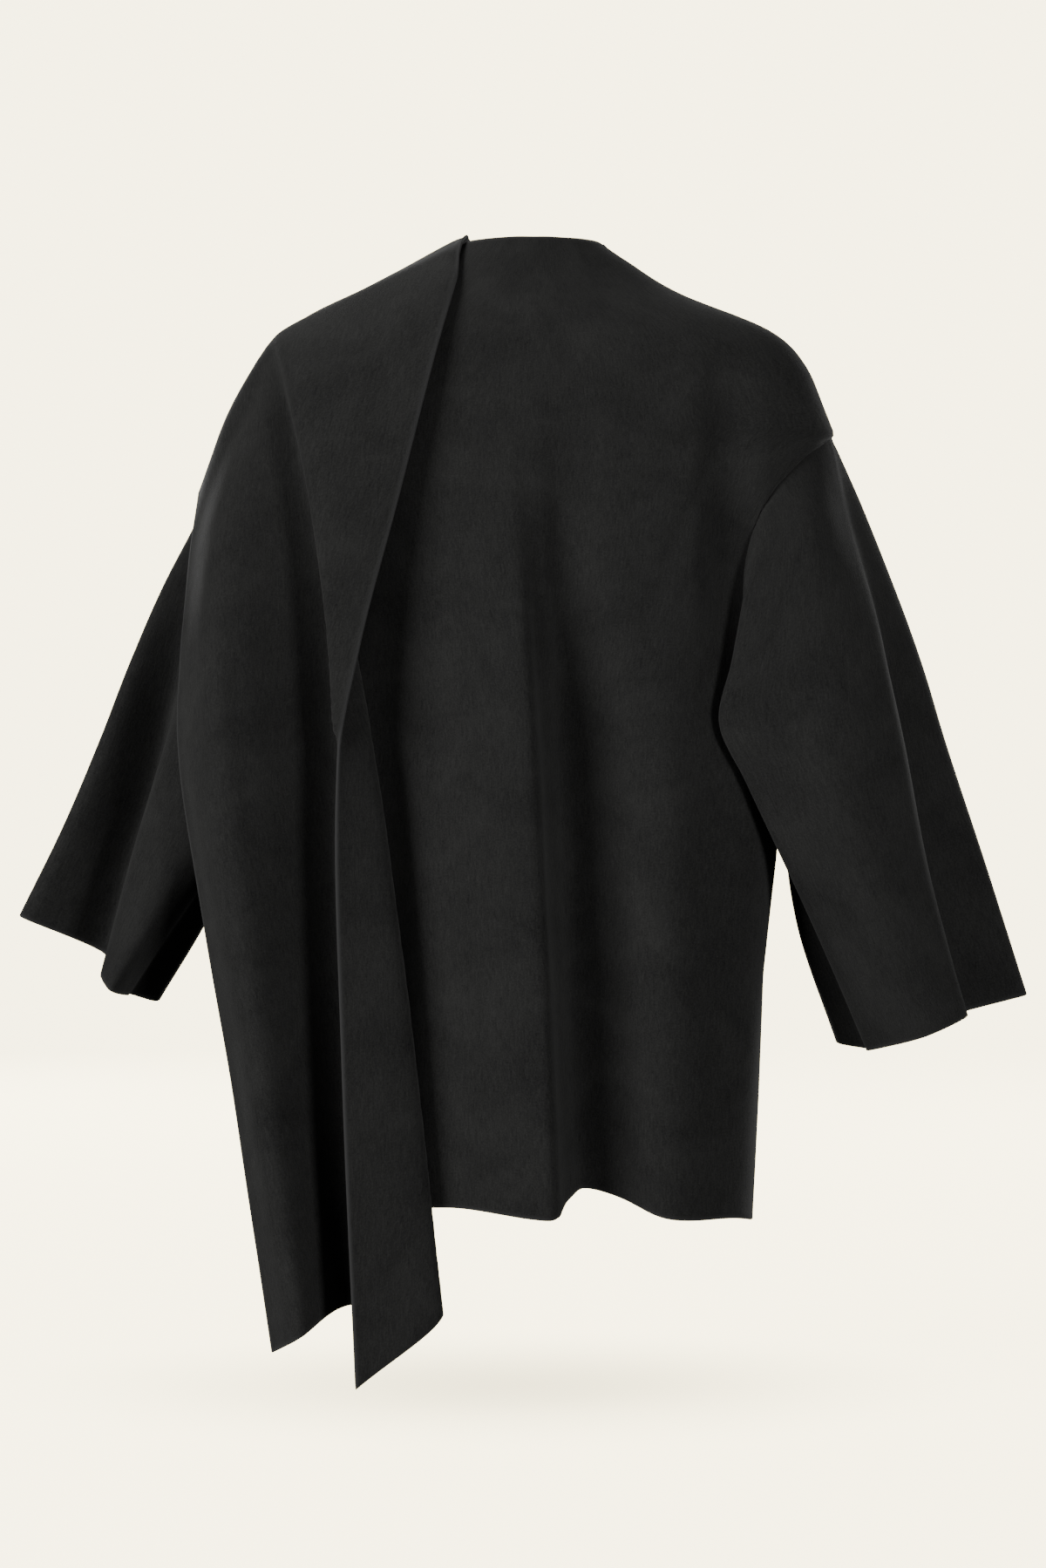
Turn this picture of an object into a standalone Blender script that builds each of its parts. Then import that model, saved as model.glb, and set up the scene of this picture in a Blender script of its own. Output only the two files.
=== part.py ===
# Cape jacket in double-faced felted wool, filled out in the shape it is worn in.
# X runs to the wearer's right, Y to the wearer's front and Z up, in metres.
# The origin is at the neck base, midway between the shoulders.
# Sizes below are in millimetres and MM turns them into metres.

import bisect
import math

import bpy
from mathutils import Vector

MM = 0.001
AXES = (Vector((1, 0, 0)), Vector((0, 1, 0)), Vector((0, 0, 1)))

# Driving sizes of the cloth.
CLOTH = 2.4            # thickness of the felted wool
SEAM = 0.3             # distance between two pieces at a seam
LAY = 0.6              # clear distance of a layer from the cloth under it
DRAPE = 1.8            # further distance where the scarf lies loosely
LAP_HALF = 35.0        # the fronts lap this far past the centre line
LAP_BLEND = 40.0       # width over which the over front rises onto the lap
LAP_EASE = 8.0         # it is fully raised this far before the under front's edge
LAP_LIFT = 4.4         # how far the over front stands off the under front
COLLAR_DIP = 14.0      # how much lower it is at the throat
UNDERARM = -350.0      # height of the underarm
SHOULDER_TIP = -114.0  # height where the dropped armhole starts
HEM = -757.0           # height of the hem at the side seams
HEM_RISE = 25.0        # how much higher the hem is at centre back and front
HEM_SWAY = 0.42        # drop of the hem for each mm that a fold stands out

# The body's outline: half width, depth at the back, depth at the front and
# roundness of the level section (2 is an ellipse), at each height.
BODY = (
    # height, half width, back, front, roundness
    (60.0, 44.0, 52.0, 60.0, 2.00),
    (44.0, 53.0, 56.0, 63.0, 2.00),
    (36.0, 70.0, 59.0, 65.0, 2.00),
    (28.0, 80.0, 62.0, 66.0, 2.02),
    (16.0, 97.0, 66.0, 69.0, 2.05),
    (2.0, 121.0, 72.0, 74.0, 2.10),
    (-9.0, 148.0, 77.0, 77.0, 2.15),
    (-18.0, 176.0, 81.0, 80.0, 2.20),
    (-27.0, 194.0, 85.0, 83.0, 2.25),
    (-37.0, 210.0, 89.0, 86.0, 2.30),
    (-50.0, 220.0, 93.0, 90.0, 2.35),
    (-62.0, 228.0, 97.0, 94.0, 2.40),
    (-86.0, 237.0, 103.0, 101.0, 2.40),
    (-114.0, 248.0, 108.0, 107.0, 2.40),
    (-160.0, 244.0, 115.0, 116.0, 2.40),
    (-224.0, 228.0, 119.0, 123.0, 2.40),
    (-300.0, 211.0, 121.0, 126.0, 2.40),
    (-350.0, 203.0, 121.0, 127.0, 2.40),
    (-457.0, 199.0, 122.0, 126.0, 3.00),
    (-556.0, 187.0, 123.0, 125.0, 3.20),
    (-650.0, 184.0, 124.0, 124.0, 3.20),
    (-757.0, 179.0, 125.0, 122.0, 3.20),
)

# The armhole seam on the body: distance from the centre line at each height.
ARMHOLE = (
    # height, back, front
    (-114.0, 248.0, 248.0),
    (-120.0, 241.0, 240.0),
    (-130.0, 226.0, 226.0),
    (-144.0, 211.0, 211.0),
    (-160.0, 196.0, 197.0),
    (-180.0, 182.0, 185.0),
    (-200.0, 174.0, 177.0),
    (-230.0, 168.0, 171.0),
    (-270.0, 168.0, 170.0),
    (-310.0, 177.0, 178.0),
    (-338.0, 192.0, 193.0),
    (-350.0, 203.0, 203.0),
)

# Hanging folds of the body. A ridge stands out and a valley goes in.
FOLDS = (
    # side, x at start, x at hem, start, full, left width, right width, depth, lean
    ("back", -22.0, 8.0, -80.0, -410.0, 88.0, 20.0, 27.0, 7.0),
    ("back", 16.0, 44.0, -70.0, -400.0, 23.0, 58.0, -25.0, -3.0),
    ("back", 104.0, 112.0, -120.0, -560.0, 42.0, 62.0, 13.0, 0.0),
    ("back", -122.0, -118.0, -160.0, -520.0, 34.0, 42.0, -17.0, 0.0),
    ("back", -166.0, -160.0, -240.0, -600.0, 30.0, 34.0, 2.0, 0.0),
    ("front", 112.0, 122.0, -150.0, -560.0, 48.0, 52.0, 13.0, 0.0),
    ("front", 66.0, 70.0, -210.0, -600.0, 32.0, 34.0, -11.0, 0.0),
    ("front", -108.0, -116.0, -170.0, -580.0, 44.0, 50.0, 15.0, 0.0),
    ("front", -60.0, -64.0, -220.0, -620.0, 34.0, 30.0, -10.0, 0.0),
)

# Soft hollows beside the armholes, where the dropped shoulder folds in.
HOLLOWS = (
    # side, x, upper end, deepest, lower end, inner width, outer width, depth
    ("back", 152.0, -20.0, -215.0, -350.0, 26.0, 38.0, -13.0),
    ("back", -152.0, -20.0, -215.0, -350.0, 26.0, 38.0, -9.0),
    ("front", 148.0, -30.0, -210.0, -350.0, 28.0, 36.0, -9.0),
    ("front", -148.0, -30.0, -210.0, -350.0, 28.0, 36.0, -9.0),
)

# Sleeve lines run from the armhole to the cuff. A line starts at a share of
# the armhole's back or front half, counted from the shoulder tip, and passes
# its points (out from the centre line, depth, height).
RIGHT_SLEEVE = (
    # line, half, share, columns to the next line, points
    ("crown", "back", 0.00, 3, (
        (272, 3, -174), (303, 6, -252), (322, 8, -306),
        (339, 8, -362), (372, 6, -462), (407, 3, -574))),
    ("strip_valley", "back", 0.045, 2, (
        (258, -22, -178), (279, -29, -258), (287, -30, -312),
        (297, -31, -372), (316, -30, -476), (346, -26, -588))),
    ("outer_crease", "back", 0.09, 4, (
        (253, -40, -181), (275, -60, -262), (286, -70, -316),
        (298, -76, -376), (318, -77, -482), (350, -66, -588))),
    ("near_ridge", "back", 0.24, 4, (
        (226, -80, -190), (230, -98, -272), (234, -106, -328),
        (246, -110, -394), (277, -102, -500), (314, -84, -603))),
    ("inner_crease", "back", 0.45, 3, (
        (172, -95, -232), (160, -103, -300), (149, -107, -350),
        (170, -98, -396), (221, -78, -500), (273, -52, -616))),
    ("underarm_groove", "back", 0.72, 3, (
        (193, -72, -320), (200, -62, -347), (206, -62, -378),
        (203, -64, -414), (231, -48, -508), (273, -32, -616))),
    ("underarm", "back", 1.00, 3, (
        (216, 0, -359), (219, -1, -373), (214, -16, -394),
        (205, -38, -426), (219, -34, -516), (252, -14, -613))),
    ("front_inner", "front", 0.80, 4, (
        (198, 66, -340), (206, 63, -358), (212, 61, -380),
        (218, 57, -418), (232, 46, -508), (262, 34, -608))),
    ("front_ridge", "front", 0.45, 4, (
        (200, 100, -236), (222, 102, -296), (238, 100, -342),
        (255, 95, -398), (284, 84, -492), (316, 66, -596))),
    ("front_outer", "front", 0.14, 4, (
        (250, 54, -182), (278, 61, -262), (294, 62, -316),
        (312, 60, -374), (345, 52, -474), (378, 42, -582))),
)
LEFT_SLEEVE = (
    # line, half, share, columns to the next line, points
    ("crown", "back", 0.00, 3, (
        (276, 3, -180), (304, -15, -240), (328, -28, -300),
        (351, -34, -362), (383, -38, -438), (418, -40, -508))),
    ("strip_valley", "back", 0.045, 2, (
        (256, -20, -182), (277, -24, -250), (292, -22, -314),
        (306, -17, -380), (330, -11, -458), (352, -8, -540))),
    ("outer_crease", "back", 0.09, 4, (
        (250, -34, -186), (268, -46, -258), (283, -54, -326),
        (302, -58, -386), (325, -62, -466), (350, -60, -556))),
    ("near_ridge", "back", 0.24, 4, (
        (226, -72, -196), (234, -76, -274), (244, -76, -344),
        (264, -79, -412), (300, -80, -490), (342, -74, -566))),
    ("inner_crease", "back", 0.45, 3, (
        (183, -89, -238), (193, -88, -302), (204, -82, -354),
        (228, -72, -414), (279, -62, -494), (331, -54, -571))),
    ("underarm_groove", "back", 0.72, 3, (
        (193, -70, -320), (205, -58, -352), (217, -50, -387),
        (237, -45, -428), (280, -41, -498), (329, -38, -571))),
    ("underarm", "back", 1.00, 3, (
        (216, 0, -359), (221, -2, -373), (225, -8, -395),
        (238, -16, -438), (268, -22, -508), (310, -24, -577))),
    ("front_inner", "front", 0.80, 4, (
        (198, 66, -340), (209, 63, -360), (223, 60, -388),
        (244, 54, -432), (280, 44, -492), (320, 34, -562))),
    ("front_ridge", "front", 0.45, 4, (
        (200, 100, -236), (224, 99, -290), (246, 95, -342),
        (270, 88, -398), (306, 76, -464), (344, 60, -540))),
    ("front_outer", "front", 0.14, 4, (
        (250, 54, -184), (276, 58, -252), (298, 60, -312),
        (322, 58, -374), (356, 50, -448), (388, 38, -520))),
)
SLEEVE_STATIONS = (0.0, 0.035, 0.14, 0.30, 0.42, 0.55, 0.78, 1.0)
SLEEVE_ROWS = (0.0, 0.035, 0.08, 0.14, 0.21, 0.30, 0.38, 0.46, 0.55, 0.64, 0.73, 0.82, 0.91, 1.0)
SLEEVE_LIP = 5.0       # the cloth leaves the armhole seam straight for this far

# The scarf's lines at each station, each a point (x, depth, height).
# The free edge, the turned-over flap's fold, the fold behind it, the valley,
# the broad ridge and the outer edge.
SCARF_FALL = (
    # share of the length, free edge, flap fold, back fold, valley, ridge, outer edge
    (0.00, (-49, 0, 56), (-203, 0, -27), (-212, 0, -34), (-219, 0, -43), (-249, 0, -91), (-276, 0, -160)),
    (0.05, (-57, -38, 38), (-206, -37, -33), (-213, -36, -40),
     (-220, -35, -49), (-250, -34, -100), (-276, -27, -178)),
    (0.12, (-67, -78, -6), (-202, -66, -60), (-206, -62, -65),
     (-212, -58, -72), (-248, -58, -132), (-279, -43, -210)),
    (0.21, (-86, -112, -84), (-191, -96, -110), (-191, -89, -116),
     (-203, -81, -124), (-247, -88, -178), (-282, -57, -254)),
    (0.32, (-109, -130, -178), (-178, -119, -195), (-163, -108, -206),
     (-186, -95, -212), (-249, -113, -246), (-285, -71, -306)),
    (0.44, (-137, -141, -288), (-166, -133, -292), (-142, -119, -296),
     (-176, -100, -300), (-248, -127, -328), (-286, -80, -362)),
    (0.56, (-155, -146, -395), (-157, -144, -395), (-126, -126, -392),
     (-170, -101, -396), (-242, -136, -420), (-277, -88, -438)),
    (0.78, (-151, -150, -620), (-151, -150, -620), (-95, -132, -620),
     (-160, -102, -618), (-214, -142, -634), (-241, -98, -644)),
    (1.00, (-140, -153, -876), (-140, -153, -876), (-73, -134, -819),
     (-148, -104, -816), (-184, -147, -836), (-208, -116, -852)),
)
FALL_ROWS = 26
FALL_COLUMNS = 30
MERGED = 9.0           # two lines this close together count as one

# The stretch across the throat: upper edge, three cross folds, lower edge.
SCARF_THROAT = (
    # share of the way, upper edge, high fold, middle, low fold, lower edge
    (0.00, (-49, 0, 56), (-126, 0, 15), (-203, 0, -27), (-249, 0, -91), (-276, 0, -160)),
    (0.16, (-49, 36, 52), (-112, 44, 10), (-196, 48, -40), (-246, 46, -112), (-270, 44, -186)),
    (0.38, (-36, 66, 46), (-84, 86, -8), (-150, 96, -78), (-196, 104, -152), (-222, 110, -226)),
    (0.60, (-10, 78, 38), (-44, 99, -20), (-88, 116, -94), (-126, 132, -172), (-146, 138, -252)),
    (0.80, (16, 80, 34), (-6, 101, -24), (-32, 121, -96), (-56, 138, -172), (-66, 144, -250)),
    (1.00, (44, 72, 34), (42, 92, -22), (38, 112, -86), (34, 128, -152), (30, 134, -222)),
)
THROAT_ROWS = 18
THROAT_COLUMNS = 16

# Heights of the body's rows, closer together over the shoulders.
BODY_ROWS = (
    44.0, 36.0, 28.0, 16.0, 2.0, -9.0, -18.0, -27.0, -37.0, -50.0,
    -66.0, -88.0, -114.0, -119.0, -128.0, -146.0, -172.0, -204.0, -244.0,
    -288.0, -326.0, -350.0, -400.0, -457.0, -520.0, -590.0, -670.0, -757.0,
)
BACK_COLUMNS = 38
FRONT_COLUMNS = 18

FELT_DARK = (0.0118, 0.0118, 0.0116, 1.0)
FELT_ROUGHNESS = 0.92


def clear_scene():
    for item in list(bpy.data.objects):
        bpy.data.objects.remove(item, do_unlink=True)


def felt(name):
    material = bpy.data.materials.new(name)
    material.use_nodes = True
    shader = material.node_tree.nodes["Principled BSDF"]
    shader.inputs["Base Color"].default_value = FELT_DARK
    shader.inputs["Roughness"].default_value = FELT_ROUGHNESS
    shader.inputs["Metallic"].default_value = 0.0
    return material


def smooth(value):
    value = min(1.0, max(0.0, value))
    return value * value * (3.0 - 2.0 * value)


def through(at, places, values):
    # A smooth curve through vectors or numbers given at rising places.
    last = len(places) - 1
    k = min(max(bisect.bisect_right(places, at) - 1, 0), last - 1)

    def slope(i):
        low = max(i - 1, 0)
        high = min(i + 1, last)
        return (values[high] - values[low]) / (places[high] - places[low])

    span = places[k + 1] - places[k]
    t = (at - places[k]) / span
    a = values[k] * (2 * t ** 3 - 3 * t ** 2 + 1) + values[k + 1] * (3 * t ** 2 - 2 * t ** 3)
    b = slope(k) * (t ** 3 - 2 * t ** 2 + t) + slope(k + 1) * (t ** 3 - t ** 2)
    return a + b * span


def look_up(table, height, column):
    # Straight interpolation in a table whose first column falls.
    for upper, lower in zip(table, table[1:]):
        if height >= lower[0]:
            break
    t = min(1.0, max(0.0, (height - lower[0]) / (upper[0] - lower[0])))
    return lower[column] + (upper[column] - lower[column]) * t


def body_size(height, column):
    # The table read at five near heights, so that its corners are rounded.
    reach = 8.0
    return sum(look_up(BODY, height + reach * k, column) for k in (-1, -0.5, 0, 0.5, 1)) / 5


def bump(offset, left, right):
    share = -offset / left if offset < 0 else offset / right
    return math.cos(math.pi / 2 * share) ** 2 if share < 1 else 0.0


def fold_shift(side, x, height):
    # How far the folds move a point outward, and how far they lean over.
    out = 0.0
    lean = 0.0
    for name, x_start, x_hem, start, full, left, right, depth, over in FOLDS:
        if name == side and height < start:
            line = x_start + (x_hem - x_start) * (start - height) / (start - HEM)
            grown = smooth((start - height) / (start - full))
            spread = 0.75 + 0.25 * grown
            share = grown * bump(x - line, left * spread, right * spread)
            out += depth * share
            lean += over * share
    for name, line, upper, deepest, lower, inner, outer, depth in HOLLOWS:
        if name == side and lower < height < upper:
            end = upper if height > deepest else lower
            left, right = (inner, outer) if line > 0 else (outer, inner)
            grown = smooth((end - height) / (end - deepest))
            out += depth * grown * bump(x - line, left, right)
    return out, lean


def body_point(turn, height):
    # turn is 0 at the right side, -90 degrees at the back and 90 at the front.
    power = body_size(height, 4)
    side = "back" if math.sin(turn) < 0 else "front"
    depth = body_size(height, 2 if side == "back" else 3)
    c = math.cos(turn)
    s = math.sin(turn)
    r = (abs(c) ** power + abs(s) ** power) ** (-1.0 / power)
    x = body_size(height, 1) * r * c
    y = depth * r * s
    out, lean = fold_shift(side, x, height)
    calm = min(1.0, abs(s) * 1.6)
    outward = -1.0 if side == "back" else 1.0
    rise = HEM_RISE * abs(s) ** 2 * smooth((-450.0 - height) / 300.0)
    sway = HEM_SWAY * out * smooth((-520.0 - height) / 230.0)
    dip = COLLAR_DIP * max(0.0, s) ** 2 * smooth((height + 20.0) / 60.0)
    x += lean * calm
    y += outward * out * calm
    return Vector((x, y, height + rise - sway - dip))


def body_normal(turn, height):
    step = 0.01
    around = body_point(turn + step, height) - body_point(turn - step, height)
    along = body_point(turn, height + 1.0) - body_point(turn, height - 1.0)
    return around.cross(along).normalized()


def armhole_turn(height, side, right):
    # The turn at which the armhole seam crosses this height.
    if height >= SHOULDER_TIP or height <= UNDERARM:
        turn = 0.0
    else:
        reach = look_up(ARMHOLE, height, 1 if side == "back" else 2)
        width = body_size(height, 1)
        power = body_size(height, 4)
        share = min(0.99999, reach / width)
        turn = math.atan((share ** -power - 1.0) ** (1.0 / power))
    if side == "back":
        return -turn if right else -math.pi + turn
    return turn if right else math.pi - turn


def spaced(curve, count):
    # Shares of the way along a curve at which equal lengths of it end.
    fine = 400
    points = [curve(i / fine) for i in range(fine + 1)]
    run = [0.0]
    for a, b in zip(points, points[1:]):
        run.append(run[-1] + (b - a).length)
    shares = []
    for k in range(count + 1):
        goal = run[-1] * k / count
        i = min(max(bisect.bisect_left(run, goal), 1), fine)
        shares.append((i - 1 + (goal - run[i - 1]) / (run[i] - run[i - 1])) / fine)
    return shares


def grid_normals(grid, around=False):
    rows = len(grid)
    columns = len(grid[0])
    normals = []
    for r in range(rows):
        line = []
        for c in range(columns):
            before = grid[r][(c - 1) % columns if around else max(c - 1, 0)]
            after = grid[r][(c + 1) % columns if around else min(c + 1, columns - 1)]
            along = grid[max(r - 1, 0)][c] - grid[min(r + 1, rows - 1)][c]
            line.append((after - before).cross(along).normalized())
        normals.append(line)
    return normals


def wall(name, grid, normals, around=False):
    # A closed wall of cloth: the grid moved out and in by half a thickness.
    rows = len(grid)
    columns = len(grid[0])
    half = CLOTH / 2
    vertices = []
    for shift in (half, -half):
        for r in range(rows):
            for c in range(columns):
                vertices.append((grid[r][c] + normals[r][c] * shift) * MM)
    inner = rows * columns
    faces = []
    spans = columns if around else columns - 1
    for r in range(rows - 1):
        for c in range(spans):
            a = r * columns + c
            b = r * columns + (c + 1) % columns
            d = a + columns
            e = b + columns
            faces.append((a, d, e))
            faces.append((a, e, b))
            faces.append((inner + a, inner + e, inner + d))
            faces.append((inner + a, inner + b, inner + e))
    rims = [(0, c, (c + 1) % columns) for c in range(spans)]
    rims += [(rows - 1, (c + 1) % columns, c) for c in range(spans)]
    for r, c, d in rims:
        a = r * columns + c
        b = r * columns + d
        faces.append((a, b, inner + b, inner + a))
    if not around:
        for c, order in ((0, 1), (columns - 1, -1)):
            for r in range(rows - 1):
                a, b = [r * columns + c, (r + 1) * columns + c][::order]
                faces.append((inner + a, inner + b, b, a))
    mesh = bpy.data.meshes.new(name)
    mesh.from_pydata([tuple(v) for v in vertices], [], faces)
    mesh.materials.append(felt(name + "_felt"))
    mesh.shade_smooth()
    mesh.set_sharp_from_angle(angle=math.radians(50))
    mesh.update()
    item = bpy.data.objects.new(name, mesh)
    bpy.context.scene.collection.objects.link(item)
    return item


def body_panel(name, side, first, last, columns, lift):
    # first and last give the turn of the panel's edges at a height, and the
    # grid runs from the left edge to the right one as seen from outside.
    low = BODY_ROWS[-1]

    def hem(share):
        return body_point(first(low) + (last(low) - first(low)) * share, low)

    shares = spaced(hem, columns)
    grid = []
    normals = []
    for height in BODY_ROWS:
        row = []
        row_normals = []
        for k, share in enumerate(shares):
            turn = first(height) + (last(height) - first(height)) * share
            point = body_point(turn, height)
            normal = body_normal(turn, height)
            point += normal * lift(point.x)
            edge = k in (0, columns) and abs(math.sin(turn)) < 0.02
            if edge:
                point.y += -SEAM / 2 if side == "back" else SEAM / 2
            row.append(point)
            row_normals.append(normal)
        grid.append(row)
        normals.append(row_normals)
    return wall(name, grid, normals)


def lap_turn(x, height):
    width = body_size(height, 1)
    power = body_size(height, 4)
    share = min(0.99, abs(x) / width)
    turn = math.atan((share ** -power - 1.0) ** (1.0 / power))
    return turn if x > 0 else math.pi - turn


def make_body():
    body_panel(
        "back", "back",
        lambda h: armhole_turn(h, "back", False),
        lambda h: armhole_turn(h, "back", True),
        BACK_COLUMNS, lambda x: 0.0,
    )
    body_panel(
        "right_front", "front",
        lambda h: armhole_turn(h, "front", True),
        lambda h: lap_turn(-min(LAP_HALF, 0.45 * body_size(h, 1)), h),
        FRONT_COLUMNS,
        lambda x: LAP_LIFT * smooth((LAP_HALF + LAP_BLEND - x) / (LAP_BLEND - LAP_EASE)),
    )
    body_panel(
        "left_front", "front",
        lambda h: lap_turn(min(LAP_HALF, 0.45 * body_size(h, 1)), h),
        lambda h: armhole_turn(h, "front", False),
        FRONT_COLUMNS, lambda x: 0.0,
    )


def armhole_edge(side, right):
    # The body's points and normals along one half of the armhole, downwards.
    edge = []
    for height in BODY_ROWS:
        if UNDERARM <= height <= SHOULDER_TIP:
            turn = armhole_turn(height, side, right)
            edge.append((body_point(turn, height), body_normal(turn, height)))
    return edge


def armhole_point(edge, share):
    # The point and normal at a share of the way down half an armhole.
    run = [0.0]
    for a, b in zip(edge, edge[1:]):
        run.append(run[-1] + (b[0] - a[0]).length)
    goal = run[-1] * share
    k = min(max(bisect.bisect_left(run, goal), 1), len(edge) - 1)
    t = (goal - run[k - 1]) / (run[k] - run[k - 1])
    low, high = edge[k - 1], edge[k]
    return low[0].lerp(high[0], t), low[1].lerp(high[1], t).normalized()


def across(points, counts, closed):
    # A curve through the points, with a set number of steps in each span.
    if closed:
        ring = [points[-1]] + list(points) + [points[0], points[1]]
    else:
        before = points[0] * 2 - points[1]
        after = points[-1] * 2 - points[-2]
        ring = [before] + list(points) + [after]
    row = []
    for i in range(len(ring) - 3):
        p = ring[i:i + 4]
        knots = [0.0]
        for a, b in zip(p, p[1:]):
            knots.append(knots[-1] + max((b - a).length, 0.01) ** 0.5)
        for k in range(counts[i]):
            t = knots[1] + (knots[2] - knots[1]) * k / counts[i]
            row.append(between(p, knots, t))
    if not closed:
        row.append(points[-1])
    return row


def between(p, knots, t):
    # The curve through four points at t, which lies between the middle two.
    def mix(a, b, low, high):
        share = (t - knots[low]) / (knots[high] - knots[low])
        return a * (1.0 - share) + b * share

    a = mix(p[0], p[1], 0, 1)
    b = mix(p[1], p[2], 1, 2)
    c = mix(p[2], p[3], 2, 3)
    return mix(mix(a, b, 0, 2), mix(b, c, 1, 3), 1, 2)


def make_sleeve(name, lines, right):
    sign = 1.0 if right else -1.0
    counts = [line[3] for line in lines]
    edges = {side: armhole_edge(side, right) for side in ("back", "front")}
    starts = []
    for k, (line, half, share, columns, points) in enumerate(lines):
        following = lines[(k + 1) % len(lines)]
        side = following[1] if share == 1.0 else half
        for step in range(columns):
            starts.append((side, share + (following[2] - share) * step / columns))
    first = []
    first_normals = []
    lip = []
    for half, share in starts:
        point, normal = armhole_point(edges[half], share)
        first.append(point)
        first_normals.append(normal)
    size = len(first)
    for k in range(size):
        along = (first[(k + 1) % size] - first[k - 1]).normalized()
        into_hole = along.cross(first_normals[k]).normalized()
        centre = sum(first, Vector()) / size
        if into_hole.dot(centre - first[k]) < 0:
            into_hole = -into_hole
        first[k] = first[k] + into_hole * SEAM * 1.5
        level = smooth((starts[k][1] - 0.1) / 0.5)
        lip.append(first[k] + (first_normals[k] * level + into_hole * (1.0 - level)) * SLEEVE_LIP)
    stations = [first, lip]
    for k in range(len(SLEEVE_STATIONS) - 2):
        points = [Vector((sign * line[4][k][0], line[4][k][1], line[4][k][2])) for line in lines]
        stations.append(across(points, counts, True))
    grid = []
    for at in SLEEVE_ROWS:
        row = [through(at, SLEEVE_STATIONS, [station[c] for station in stations]) for c in range(size)]
        grid.append(row)
    if not right:
        grid = [row[::-1] for row in grid]
        first_normals = first_normals[::-1]
    normals = grid_normals(grid, around=True)
    outside = sum((normals[3][c].dot(grid[3][c] - sum(grid[3], Vector()) / size) for c in range(size)))
    if outside < 0:
        grid = [row[::-1] for row in grid]
        first_normals = first_normals[::-1]
        normals = grid_normals(grid, around=True)
    normals[0] = first_normals
    return wall(name, grid, normals, around=True)


def clear_of_body(point, distance, sewn=False):
    # Moves a point out until it stands this far from the body's middle line,
    # or, where it is sewn down, also in to that distance.
    def field(p):
        height = p.z
        side = "back" if p.y < 0 else "front"
        power = body_size(height, 4)
        out = fold_shift(side, p.x, height)[0]
        depth = body_size(height, 2 if side == "back" else 3) + max(out, -4.0)
        if side == "front":
            depth += LAP_LIFT * smooth((LAP_HALF + LAP_BLEND - p.x) / (LAP_BLEND - LAP_EASE))
        u = abs(p.x) / body_size(height, 1)
        v = abs(p.y) / depth
        return (u ** power + v ** power) ** (1.0 / power) - 1.0

    for _ in range(6):
        here = field(point)
        slope = Vector([(field(point + step) - field(point - step)) / 2.0 for step in AXES])
        away = here / slope.length
        if away >= distance and not sewn:
            break
        point = point + slope.normalized() * (distance - away) * 0.9
    return point


def scarf_grid(table, rows, columns, ease):
    places = [row[0] for row in table]
    lines = [[Vector(row[k]) for row in table] for k in range(1, len(table[0]))]
    grid = []
    for r in range(rows + 1):
        at = (r / rows) ** ease
        points = [through(at, places, line) for line in lines]
        kept = [points[0]]
        for point in points[1:]:
            if (point - kept[-1]).length > MERGED:
                kept.append(point)
        fine = across(kept, [40] * (len(kept) - 1), False)
        shares = spaced(lambda s: fine_point(fine, s), columns)
        grid.append([fine_point(fine, s) for s in shares])
    return grid


def fine_point(points, share):
    at = min(max(share, 0.0), 1.0) * (len(points) - 1)
    k = min(int(at), len(points) - 2)
    return points[k] + (points[k + 1] - points[k]) * (at - k)


def make_scarf():
    lift = CLOTH + LAY + DRAPE
    fall = scarf_grid(SCARF_FALL, FALL_ROWS, FALL_COLUMNS, 1.35)
    throat = scarf_grid(SCARF_THROAT, THROAT_ROWS, THROAT_COLUMNS, 1.0)
    fall = [[clear_of_body(p, lift) for p in row] for row in fall]
    throat = [[clear_of_body(p, lift) for p in row] for row in throat]
    throat[-1] = [clear_of_body(p, CLOTH + LAY, True) for p in throat[-1]]
    for p in fall[0]:
        p.y -= SEAM
    for p in throat[0]:
        p.y += SEAM
    fall = [row[::-1] for row in fall]
    fall_normals = grid_normals(fall)
    throat_normals = grid_normals(throat)
    for c in range(FALL_COLUMNS + 1):
        fall_normals[0][c].y = 0.0
        fall_normals[0][c].normalize()
    for c in range(THROAT_COLUMNS + 1):
        throat_normals[0][c].y = 0.0
        throat_normals[0][c].normalize()
    wall("scarf_fall", fall, fall_normals)
    wall("scarf_throat", throat, throat_normals)


clear_scene()
make_body()
make_sleeve("right_sleeve", RIGHT_SLEEVE, True)
make_sleeve("left_sleeve", LEFT_SLEEVE, False)
make_scarf()
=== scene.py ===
import bisect
import math

import bpy
import numpy as np
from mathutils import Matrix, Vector


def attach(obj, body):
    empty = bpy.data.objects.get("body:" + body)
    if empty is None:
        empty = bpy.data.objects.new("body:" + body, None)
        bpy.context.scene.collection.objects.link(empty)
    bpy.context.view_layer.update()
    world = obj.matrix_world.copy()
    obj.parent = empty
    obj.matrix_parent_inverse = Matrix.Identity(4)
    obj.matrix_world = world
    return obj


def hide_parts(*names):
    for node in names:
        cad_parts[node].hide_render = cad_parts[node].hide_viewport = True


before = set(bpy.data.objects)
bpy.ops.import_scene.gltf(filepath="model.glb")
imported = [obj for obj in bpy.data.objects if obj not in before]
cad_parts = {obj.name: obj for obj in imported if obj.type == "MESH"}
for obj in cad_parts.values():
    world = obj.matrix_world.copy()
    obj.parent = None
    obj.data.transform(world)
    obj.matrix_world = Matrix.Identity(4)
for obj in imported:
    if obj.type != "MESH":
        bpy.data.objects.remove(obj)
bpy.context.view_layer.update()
mm = 0.001

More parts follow.
